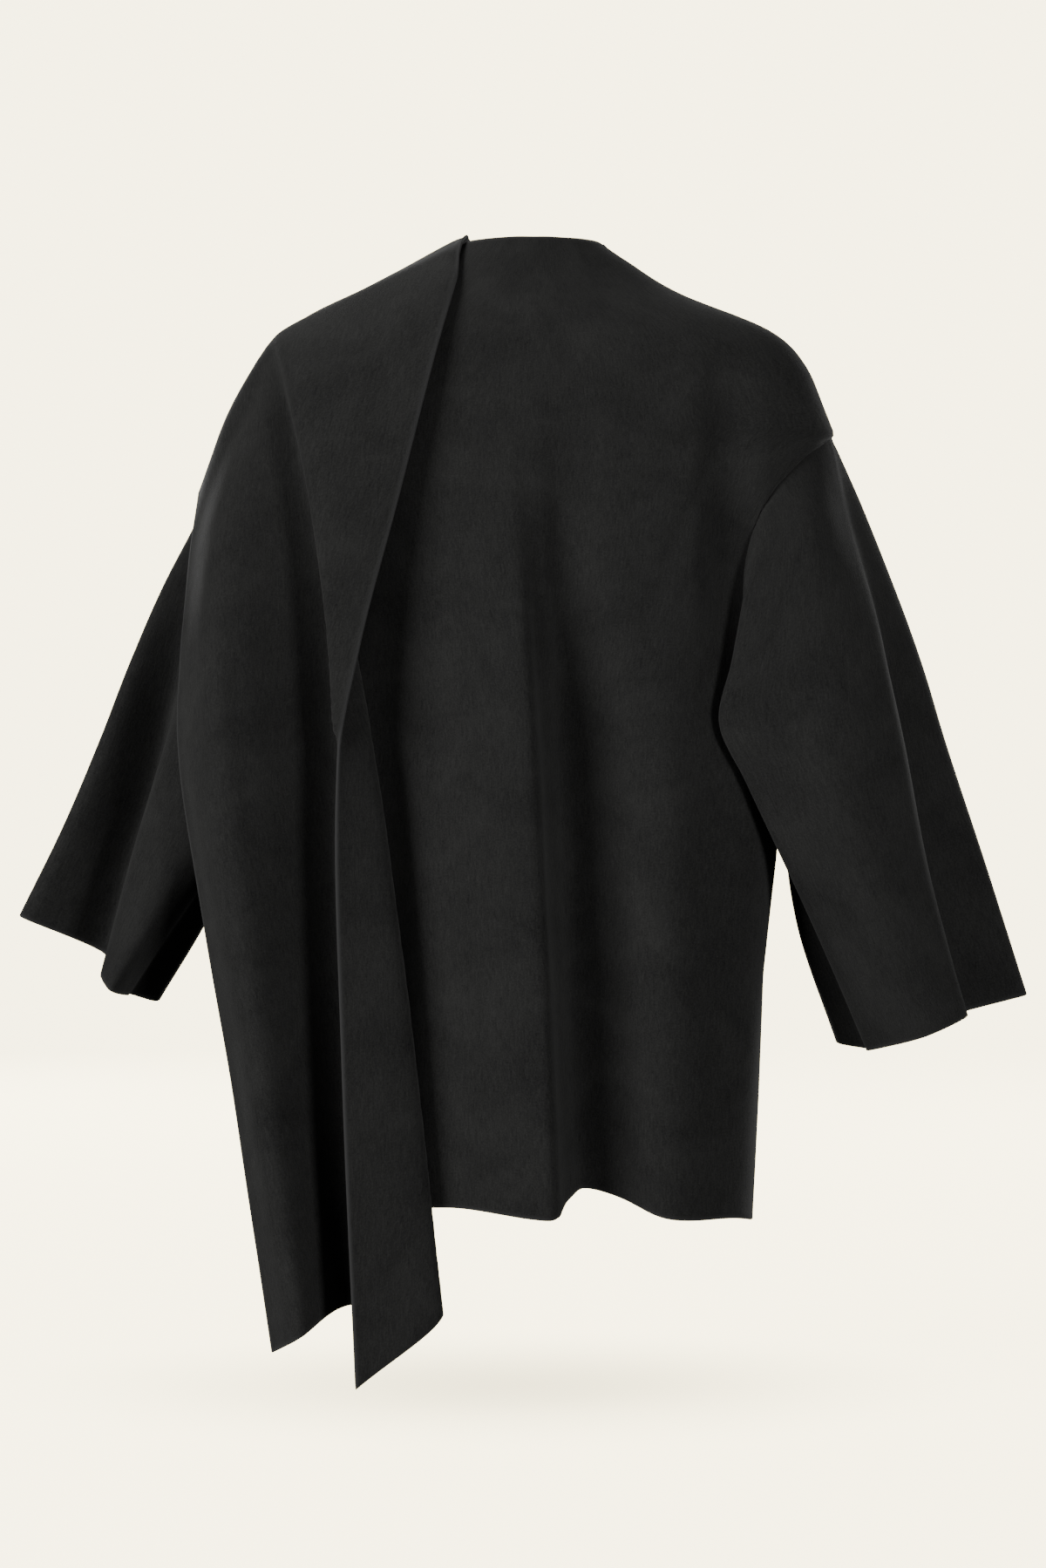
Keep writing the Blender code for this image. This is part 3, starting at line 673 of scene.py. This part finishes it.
def sleeveStart(lines, counts, right):
    # the sleeve's points on the armhole seam, the body's normals there, and its
    # points a little further on, where the cloth has turned into the sleeve
    edges = {side: armholeEdge(side, right) for side in ("back", "front")}
    first = []
    normals = []
    shares = []
    for k, (line, half, share, columns, points) in enumerate(lines):
        following = lines[(k + 1) % len(lines)]
        side = following[1] if share == 1.0 else half
        for step in range(counts[k]):
            at = share + (following[2] - share) * step / counts[k]
            point, normal = armholePoint(edges[side], at)
            first.append(point)
            normals.append(normal)
            shares.append(at)
    size = len(first)
    centre = sum(first, Vector()) / size
    lip = []
    for k in range(size):
        along = (first[(k + 1) % size] - first[k - 1]).normalized()
        intoHole = along.cross(normals[k]).normalized()
        if intoHole.dot(centre - first[k]) < 0:
            intoHole = -intoHole
        first[k] = first[k] + intoHole * cloth["seamGap"] * 1.5
        # over the shoulder the sleeve drops straight down, lower it goes on as the body does
        level = ease((shares[k] - 0.1) / 0.5)
        way = normals[k] * level + intoHole * (1.0 - level)
        lip.append(first[k] + way * cloth["sleeveLip"])
    return first, lip, normals


def sleeveSurface(lines, right):
    sign = 1.0 if right else -1.0
    counts = [line[3] * 2 for line in lines]
    first, lip, seamNormals = sleeveStart(lines, counts, right)
    stations = [first, lip]
    for k in range(len(sleeveStations) - 2):
        points = [Vector((sign * line[4][k][0], line[4][k][1], line[4][k][2])) for line in lines]
        stations.append(curveAcross(points, counts, True))
    values = np.array([[tuple(p) for p in station] for station in stations])
    lipEnd = sleeveStations[1]
    wanted = np.concatenate((np.linspace(0.0, lipEnd, 3)[:-1], np.linspace(lipEnd, 1.0, 60)))
    points = resample(values, np.array(sleeveStations), wanted)
    rim = np.array([tuple(n) for n in seamNormals])
    if not right:
        points = points[:, ::-1]
        rim = rim[::-1]
    points = refine(points, around=True)
    normals = gridNormals(points, around=True)
    ring = points[12]
    if ((ring - ring.mean(axis=0)) * normals[12]).sum() < 0:
        points = points[:, ::-1]
        rim = rim[::-1]
        normals = gridNormals(points, around=True)
    # the first rows lean as the body's cloth does, so that the seam meets flush
    places = np.linspace(0.0, 1.0, len(rim), endpoint=False)
    wanted = np.linspace(0.0, 1.0, points.shape[1], endpoint=False)
    for axis in range(3):
        leaning = np.interp(wanted, places, rim[:, axis], period=1.0)
        for row, share in ((0, 1.0), (1, 0.5), (2, 0.2)):
            normals[row, :, axis] = normals[row, :, axis] * (1.0 - share) + leaning * share
    return points, unit(normals)


def clearOfBody(point, distance, sewn=False):
    # moves a point out until it stands this far from the body's middle line,
    # or, where it is sewn down, also in to that distance
    def field(p):
        side = "back" if p.y < 0 else "front"
        power = bodySize(p.z, 4)
        out = foldShift(side, p.x, p.z)[0]
        depth = bodySize(p.z, 2 if side == "back" else 3) + max(out, cloth["bridge"])
        if side == "front":
            depth += overLift(p.x)
        u = abs(p.x) / bodySize(p.z, 1)
        v = abs(p.y) / depth
        return (u ** power + v ** power) ** (1.0 / power) - 1.0

    # a few short steps along the slope get close enough
    for _ in range(6):
        here = field(point)
        slope = Vector([(field(point + step) - field(point - step)) / 2.0 for step in axes])
        away = here / slope.length
        if away >= distance and not sewn:
            break
        point = point + slope.normalized() * (distance - away) * 0.9
    return point


def joinNearLines(points):
    # where two lines run together, the fold between them dies out softly
    gone, whole = cloth["foldJoin"]
    kept = [points[0]]
    for k in range(1, len(points)):
        point = points[k]
        apart = (point - kept[-1]).length
        if k + 1 < len(points):
            way = points[k + 1] - kept[-1]
            straight = kept[-1] + way * min(1.0, apart / way.length)
            point = straight.lerp(point, ease((apart - gone) / (whole - gone)))
        if apart > gone:
            kept.append(point)
    return kept


def scarfSurface(piece):
    # the lines are joined across the scarf, and its points kept off the body
    table = piece["lines"]
    lift = cloth["thickness"] + cloth["layGap"] + cloth["drape"]
    places = np.array([row[0] for row in table])
    lines = np.array([[row[k] for row in table] for k in range(1, len(table[0]))], dtype=float)
    wanted = np.linspace(0.0, 1.0, piece["rows"] + 1) ** piece["rush"]
    stations = resample(lines.transpose(1, 0, 2), places, wanted)
    grid = []
    for at, station in zip(wanted, stations):
        points = [Vector(p) for p in station]
        kept = joinNearLines(points)
        fine = np.array([tuple(p) for p in curveAcross(kept, [40] * (len(kept) - 1), False)])
        run = np.concatenate(([0.0], np.cumsum(distances(fine))))
        even = np.linspace(0.0, run[-1], piece["columns"] + 1)
        line = np.stack([np.interp(even, run, fine[:, axis]) for axis in range(3)], axis=1)
        rolled = np.clip(1.0 - even / cloth["rollWidth"], 0.0, 1.0) ** 2
        line[:, 2] -= cloth["rollDrop"] * rolled * ease(1.0 - at / cloth["rollEnd"])
        grid.append([clearOfBody(Vector(p), lift) for p in line])
    if piece["sewn"]:
        grid[-1] = [clearOfBody(p, cloth["thickness"] + cloth["layGap"], True) for p in grid[-1]]
    values = np.array([[tuple(p) for p in row] for row in grid])
    values[0, :, 1] += cloth["seamGap"] * (-1.0 if piece["turned"] else 1.0)
    if piece["turned"]:
        values = values[:, ::-1]
    points = refine(values, acrossStep=cloth["foldStep"])
    normals = gridNormals(points)
    normals[0, :, 1] = 0.0
    return points, unit(normals)


def toLinear(code):
    parts = [int(code[k:k + 2], 16) / 255 for k in (1, 3, 5)]
    return tuple(p / 12.92 if p <= 0.04045 else ((p + 0.055) / 1.055) ** 2.4 for p in parts) + (1.0,)


def addNode(tree, kind, settings, links):
    # settings go to the node or its sockets, links join sockets to outputs;
    # a socket is told by its name or, where names repeat, by its number
    node = tree.nodes.new(kind)
    for name, value in settings.items():
        if isinstance(name, int) or name in node.inputs:
            node.inputs[name].default_value = value
        else:
            setattr(node, name, value)
    for name, output in links.items():
        tree.links.new(output, node.inputs[name])
    return node


# Black wool, fulled until the weave is closed: matt, with a short nap that
# catches grazing light, streaks of fibre down the cloth and a faint mottle.
# Its cut edges are lighter: partly the opened fibres, partly a painted highlight.
woolLook = {
    "dark": "#121212",       # the ground between the fibres
    "light": "#2c2c2b",      # fibre tips and worn places
    "edge": "#333333",       # the cut edge: opened fibres with a painted highlight
    "edgeFade": 2.5,         # how fast the cut edge's lighter tone and painted highlight fall off
    "fibreWidth": 0.0016,    # m across a streak; real ones are finer, this still shows
    "fibreLength": 0.009,    # m down a streak
    "fuzz": 720.0,           # specks of fibre end in a metre
    "mottle": 0.055,         # m across a patch of the mottle
    "mottleShare": 0.38,     # how much the mottle counts beside the fibres
    "toneRange": (0.42, 0.98),  # noise at which the cloth is darkest and lightest
    "nap": 0.00045,          # m that the fibres stand out
    "napStrength": 0.9,
    "roughness": 0.95,
    "gloss": 0.08,
    "sheen": 0.12,           # light that the nap catches at a slant
    "sheenSpread": 0.55,
    "sheenTint": "#d8d8d6",
}


def makeWool(name):
    material = bpy.data.materials.new(name)
    material.use_nodes = True
    tree = material.node_tree
    shader = tree.nodes["Principled BSDF"]
    look = woolLook
    flat = addNode(tree, "ShaderNodeUVMap", {"uv_map": "flatCloth"}, {})
    fibrePlace = addNode(tree, "ShaderNodeMapping", {
        "Scale": (1 / look["fibreWidth"], 1 / look["fibreLength"], 1.0),
    }, {"Vector": flat.outputs["UV"]})
    fibre = addNode(tree, "ShaderNodeTexNoise", {
        "noise_dimensions": "2D", "Scale": 1.0, "Detail": 3.0, "Roughness": 0.62, "Distortion": 0.9,
    }, {"Vector": fibrePlace.outputs["Vector"]})
    fuzz = addNode(tree, "ShaderNodeTexNoise", {
        "noise_dimensions": "2D", "Scale": look["fuzz"], "Detail": 2.0, "Roughness": 0.7,
    }, {"Vector": flat.outputs["UV"]})
    patch = addNode(tree, "ShaderNodeTexNoise", {
        "noise_dimensions": "2D", "Scale": 1 / look["mottle"], "Detail": 4.0,
        "Roughness": 0.6, "Distortion": 0.4,
    }, {"Vector": flat.outputs["UV"]})
    grain = addNode(tree, "ShaderNodeMath", {"operation": "ADD"}, {
        0: fibre.outputs["Fac"], 1: fuzz.outputs["Fac"],
    })
    height = addNode(tree, "ShaderNodeMath", {"operation": "MULTIPLY", 1: 0.5}, {
        0: grain.outputs["Value"],
    })
    tone = addNode(tree, "ShaderNodeMath", {"operation": "MULTIPLY_ADD", 1: look["mottleShare"]}, {
        0: patch.outputs["Fac"], 2: height.outputs["Value"],
    })
    spread = addNode(tree, "ShaderNodeMapRange", {
        "From Min": look["toneRange"][0], "From Max": look["toneRange"][1],
    }, {"Value": tone.outputs["Value"]})
    # sockets 6 and 7 of a colour mix are its two colours, output 2 is the result
    ground = addNode(tree, "ShaderNodeMix", {
        "data_type": "RGBA", 6: toLinear(look["dark"]), 7: toLinear(look["light"]),
    }, {"Factor": spread.outputs["Result"]})
    # the cut edge's lighter tone: partly opened fibres, partly a painted highlight along the edge
    cut = addNode(tree, "ShaderNodeAttribute", {"attribute_name": "cutEdgeAndHighlight"}, {})
    edgeFibresAndHighlight = addNode(tree, "ShaderNodeMath", {"operation": "POWER", 1: look["edgeFade"]}, {
        0: cut.outputs["Fac"],
    })
    colour = addNode(tree, "ShaderNodeMix", {"data_type": "RGBA", 7: toLinear(look["edge"])}, {
        "Factor": edgeFibresAndHighlight.outputs["Value"], 6: ground.outputs[2],
    })
    nap = addNode(tree, "ShaderNodeBump", {
        "Strength": look["napStrength"], "Distance": look["nap"],
    }, {"Height": height.outputs["Value"]})
    tree.links.new(colour.outputs[2], shader.inputs["Base Color"])
    tree.links.new(nap.outputs["Normal"], shader.inputs["Normal"])
    shader.inputs["Roughness"].default_value = look["roughness"]
    shader.inputs["IOR"].default_value = 1.5
    shader.inputs["Specular IOR Level"].default_value = look["gloss"]
    shader.inputs["Sheen Weight"].default_value = look["sheen"]
    shader.inputs["Sheen Roughness"].default_value = look["sheenSpread"]
    shader.inputs["Sheen Tint"].default_value = toLinear(look["sheenTint"])
    return material


print("loaded the frame")
blackWool = makeWool("BlackFulledWool")

# Creases: across and along at each end (shares of the flat piece), width and
# depth in mm, and how far the line bows. Each piece has its own uneven set.
backPiece = {
    "name": "backCloth", "node": "back", "slot": "body_wool", "side": "back",
    "columns": 64, "sewn": ("first", "last"), "seed": 0.3,
    "flat": (0.56, 0.83), "area": 0.41, "held": "hung", "restsOn": ["left_front", "right_front"],
    "creases": (
        (0.90, 0.20, 0.72, 0.46, 9.0, -1.8, 8.0),
        (0.86, 0.14, 0.66, 0.30, 12.0, 1.6, -6.0),
        (0.60, 0.10, 0.56, 0.44, 16.0, -1.7, 5.0),
        (0.48, 0.06, 0.50, 0.30, 12.0, 1.0, -4.0),
        (0.10, 0.22, 0.30, 0.44, 10.0, -1.6, -7.0),
        (0.78, 0.52, 0.82, 0.92, 17.0, 1.7, 6.0),
        (0.66, 0.58, 0.69, 0.97, 11.0, -1.6, -5.0),
        (0.30, 0.40, 0.28, 0.90, 15.0, -1.9, 6.0),
        (0.42, 0.55, 0.45, 0.86, 13.0, 1.2, -6.0),
        (0.92, 0.55, 0.93, 0.98, 14.0, 1.6, 5.0),
    ),
}
rightFrontPiece = {
    "name": "rightFrontCloth", "node": "right_front", "slot": "body_wool", "side": "front",
    "columns": 36, "sewn": ("first",), "seed": 1.1,
    "flat": (0.33, 0.82), "area": 0.235, "held": "hung", "restsOn": ["back", "left_front"],
    "creases": (
        (0.10, 0.22, 0.40, 0.44, 10.0, -1.7, 6.0),
        (0.30, 0.40, 0.34, 0.92, 15.0, 1.6, 7.0),
        (0.58, 0.48, 0.55, 0.96, 12.0, -1.8, -5.0),
        (0.80, 0.30, 0.78, 0.74, 14.0, 1.1, 6.0),
    ),
}
leftFrontPiece = {
    "name": "leftFrontCloth", "node": "left_front", "slot": "body_wool", "side": "front",
    "columns": 36, "sewn": ("last",), "seed": 2.2,
    "flat": (0.33, 0.82), "area": 0.235, "held": "hung", "restsOn": ["back"],
    "creases": (
        (0.90, 0.24, 0.62, 0.43, 11.0, -1.6, -6.0),
        (0.66, 0.44, 0.62, 0.95, 14.0, 1.7, -6.0),
        (0.38, 0.52, 0.41, 0.90, 12.0, -1.5, 5.0),
        (0.16, 0.36, 0.18, 0.70, 13.0, 1.0, -4.0),
    ),
}


def makeBodyPiece(piece, first, last, full, lift):
    values = bodySurface(piece, first, last, full, lift)
    finishPiece(buildCloth(piece, values[:, :, :3], unit(values[:, :, 3:]), False), piece)


makeBodyPiece(
    backPiece,
    lambda h: armholeTurn(h, "back", False), lambda h: armholeTurn(h, "back", True),
    lambda h: (-math.pi, 0.0), noLift)
makeBodyPiece(
    rightFrontPiece,
    lambda h: armholeTurn(h, "front", True), lambda h: lapTurn(h, True),
    lambda h: (0.0, lapTurn(h, True)), overLift)
makeBodyPiece(
    leftFrontPiece,
    lambda h: lapTurn(h, False), lambda h: armholeTurn(h, "front", False),
    lambda h: (lapTurn(h, False), math.pi), noLift)

# The sleeves hang from the dropped armholes. Across runs all round the tube.
rightSleevePiece = {
    "name": "rightSleeveCloth", "node": "right_sleeve", "slot": "sleeve_wool",
    "lines": rightSleeveTable, "right": True, "sewn": ("top",), "seed": 0.7,
    "flat": (0.58, 0.47), "area": 0.235, "held": "hung", "restsOn": ["back", "right_front"],
    "creases": (
        (0.30, 0.05, 0.36, 0.48, 9.0, -1.7, 5.0),
        (0.20, 0.30, 0.24, 0.92, 12.0, 1.6, -5.0),
        (0.42, 0.22, 0.46, 0.62, 8.0, 1.7, 4.0),
        (0.66, 0.20, 0.70, 0.80, 11.0, -1.6, 5.0),
        (0.86, 0.34, 0.84, 0.90, 12.0, 1.5, -4.0),
    ),
}
leftSleevePiece = {
    "name": "leftSleeveCloth", "node": "left_sleeve", "slot": "sleeve_wool",
    "lines": leftSleeveTable, "right": False, "sewn": ("top",), "seed": 1.9,
    "flat": (0.52, 0.42), "area": 0.19, "held": "hung", "restsOn": ["back", "left_front"],
    "creases": (
        (0.22, 0.10, 0.26, 0.66, 10.0, -1.5, -4.0),
        (0.34, 0.30, 0.31, 0.92, 10.0, 1.5, 5.0),
        (0.56, 0.18, 0.52, 0.70, 9.0, -1.6, -5.0),
        (0.78, 0.28, 0.80, 0.86, 12.0, 1.5, 5.0),
    ),
}
for piece in (rightSleevePiece, leftSleevePiece):
    points, normals = sleeveSurface(piece["lines"], piece["right"])
    finishPiece(buildCloth(piece, points, normals, True), piece)

# The scarf is sewn on by the right of the neck, crosses the throat and falls
# over the left shoulder, its inner edge turned over to the outside. It is worked
# out in rows and columns; a rush over 1 puts more of the rows near the shoulder.
scarfFallPiece = {
    "name": "scarfFallCloth", "node": "scarf_fall", "slot": "scarf_wool",
    "lines": scarfFallTable, "rows": 96, "columns": 130, "rush": 1.35, "turned": True,
    "sewn": (), "seed": 2.7,
    "flat": (0.29, 0.92), "area": 0.22, "held": "draped", "restsOn": ["back", "left_sleeve"],
    "creases": (
        (0.10, 0.20, 0.16, 0.72, 14.0, 1.6, 6.0),
        (0.30, 0.26, 0.34, 0.60, 12.0, -1.7, -5.0),
        (0.62, 0.12, 0.66, 0.40, 12.0, 1.2, 5.0),
        (0.82, 0.36, 0.78, 0.94, 14.0, -1.4, -5.0),
        (0.90, 0.06, 0.80, 0.26, 12.0, 1.3, 4.0),
    ),
}
scarfThroatPiece = {
    "name": "scarfThroatCloth", "node": "scarf_throat", "slot": "scarf_wool",
    "lines": scarfThroatTable, "rows": 48, "columns": 50, "rush": 1.0, "turned": False,
    "sewn": ("bottom",), "seed": 0.2,
    "flat": (0.28, 0.42), "area": 0.10, "held": "draped", "restsOn": ["left_front", "right_front"],
    "creases": (
        (0.24, 0.10, 0.30, 0.92, 9.0, -2.2, 6.0),
        (0.46, 0.04, 0.44, 0.80, 10.0, 2.0, -5.0),
        (0.68, 0.16, 0.74, 0.96, 10.0, -2.2, 6.0),
        (0.86, 0.02, 0.84, 0.60, 9.0, 1.6, -4.0),
    ),
}
for piece in (scarfFallPiece, scarfThroatPiece):
    points, normals = scarfSurface(piece)
    finishPiece(buildCloth(piece, points, normals, False), piece)

# The set: a pale sweep of floor and wall, soft light, and the camera.
studio = {
    "floorHeight": -0.905,   # m, just under the scarf's longer corner
    "floorRadius": 4.2,      # m
    "bendRadius": 1.6,       # m, of the curve from floor to wall
    "wallHeight": 7.0,       # m
    "sweepSides": 96,        # sides of the round floor
    "bendSteps": 12,         # steps in its curve
    "sweep": "#f0e4bc",      # warm off-white
    "sweepGlow": 7.0,        # light put on the sweep alone, so that it stays even
    "paintedShadowGlow": 3.6,       # glow of the painted shadow right under the garment
    "paintedShadowSize": (0.44, 0.34),    # m, how far the painted shadow reaches across and back
    "paintedShadowPlace": (-0.03, 0.06),  # m, the painted shadow's middle
    "lightAim": (0.0, 0.0, -0.4),  # every light faces the garment's middle
    "roomLight": 0.1,        # strength of the light from all sides
    "camera": (-0.0086, -3.2, -0.4),  # level, at the photo's angle
    "sensor": 36.0,          # mm
    "photoHeight": 1799,     # pixels
    "metresPerPixel": 0.00072,
}


def makePaper():
    # matt backdrop paper: an even pale ground, so that the dark outline reads,
    # with a painted shadow: its glow turned down right under the garment
    material = bpy.data.materials.new("MattBackdropPaper")
    material.use_nodes = True
    tree = material.node_tree
    shader = tree.nodes["Principled BSDF"]
    coordinates = addNode(tree, "ShaderNodeTexCoord", {}, {})
    across, deep = studio["paintedShadowSize"]
    x, y = studio["paintedShadowPlace"]
    # painted shadow: a soft round patch where the glow is turned down
    under = addNode(tree, "ShaderNodeMapping", {
        "Location": (-x / across, -y / deep, 0.0), "Scale": (1 / across, 1 / deep, 0.0),
    }, {"Vector": coordinates.outputs["Object"]})
    shade = addNode(tree, "ShaderNodeTexGradient", {
        "gradient_type": "SPHERICAL",
    }, {"Vector": under.outputs["Vector"]})
    glow = addNode(tree, "ShaderNodeMapRange", {
        "interpolation_type": "SMOOTHSTEP",
        "To Min": studio["sweepGlow"], "To Max": studio["paintedShadowGlow"],
    }, {"Value": shade.outputs["Fac"]})
    tree.links.new(glow.outputs["Result"], shader.inputs["Emission Strength"])
    shader.inputs["Base Color"].default_value = toLinear(studio["sweep"])
    shader.inputs["Emission Color"].default_value = toLinear(studio["sweep"])
    shader.inputs["Roughness"].default_value = 1.0
    shader.inputs["Specular IOR Level"].default_value = 0.0
    return material


def makeSweep():
    # a round floor that curves up into a wall all round, so that every side has it
    line = [(0.01, 0.0), (studio["floorRadius"], 0.0)]
    bend = studio["bendRadius"]
    for k in range(1, studio["bendSteps"] + 1):
        turn = math.pi / 2 * k / studio["bendSteps"]
        line.append((studio["floorRadius"] + bend * math.sin(turn), bend * (1.0 - math.cos(turn))))
    line.append((studio["floorRadius"] + bend, studio["wallHeight"]))
    around = studio["sweepSides"]
    vertices = []
    for out, z in line:
        for k in range(around):
            turn = 2 * math.pi * k / around
            vertices.append((out * math.cos(turn), out * math.sin(turn), studio["floorHeight"] + z))
    faces = [tuple(range(around))]
    for r in range(len(line) - 1):
        for k in range(around):
            n = (k + 1) % around
            faces.append((r * around + k, (r + 1) * around + k, (r + 1) * around + n, r * around + n))
    mesh = bpy.data.meshes.new("paperSweep")
    mesh.from_pydata(vertices, [], faces)
    mesh.shade_smooth()
    mesh.materials.append(makePaper())
    sweep = bpy.data.objects.new("paperSweep", mesh)
    bpy.context.scene.collection.objects.link(sweep)
    # its glow and its wall stay off the cloth
    sweep.visible_diffuse = False
    sweep.visible_glossy = False
    sweep.visible_shadow = False


def addLight(name, place, size, power):
    data = bpy.data.lights.new(name, "AREA")
    data.shape = "RECTANGLE"
    data.size, data.size_y = size
    data.energy = power
    light = bpy.data.objects.new(name, data)
    light.location = place
    way = Vector(studio["lightAim"]) - Vector(place)
    light.rotation_euler = way.to_track_quat("-Z", "Y").to_euler()
    bpy.context.scene.collection.objects.link(light)


makeSweep()
for name, place, size, power in (
    ("softboxLeft", (-3.1, -2.2, 0.35), (1.9, 1.9), 178.0),
    ("softboxRight", (2.3, -2.8, 0.0), (0.9, 1.2), 74.0),
    ("frontFillLeft", (-1.5, 3.3, 0.7), (1.2, 1.4), 95.0),
    ("frontFillRight", (2.2, 2.9, 0.4), (0.9, 1.2), 55.0),
):
    addLight(name, place, size, power)

world = bpy.data.worlds.new("studioRoom")
world.use_nodes = True
background = world.node_tree.nodes["Background"]
background.inputs["Color"].default_value = toLinear("#f4f3f0")
background.inputs["Strength"].default_value = studio["roomLight"]
bpy.context.scene.world = world

cameraData = bpy.data.cameras.new("camera")
cameraData.sensor_fit = "VERTICAL"
cameraData.sensor_height = studio["sensor"]
distance = -studio["camera"][1]
cameraData.lens = studio["sensor"] * distance / (studio["photoHeight"] * studio["metresPerPixel"])
camera = bpy.data.objects.new("camera", cameraData)
camera.location = studio["camera"]
camera.rotation_euler = (math.pi / 2, 0.0, 0.0)
bpy.context.scene.collection.objects.link(camera)
bpy.context.scene.camera = camera
print("lit the set")
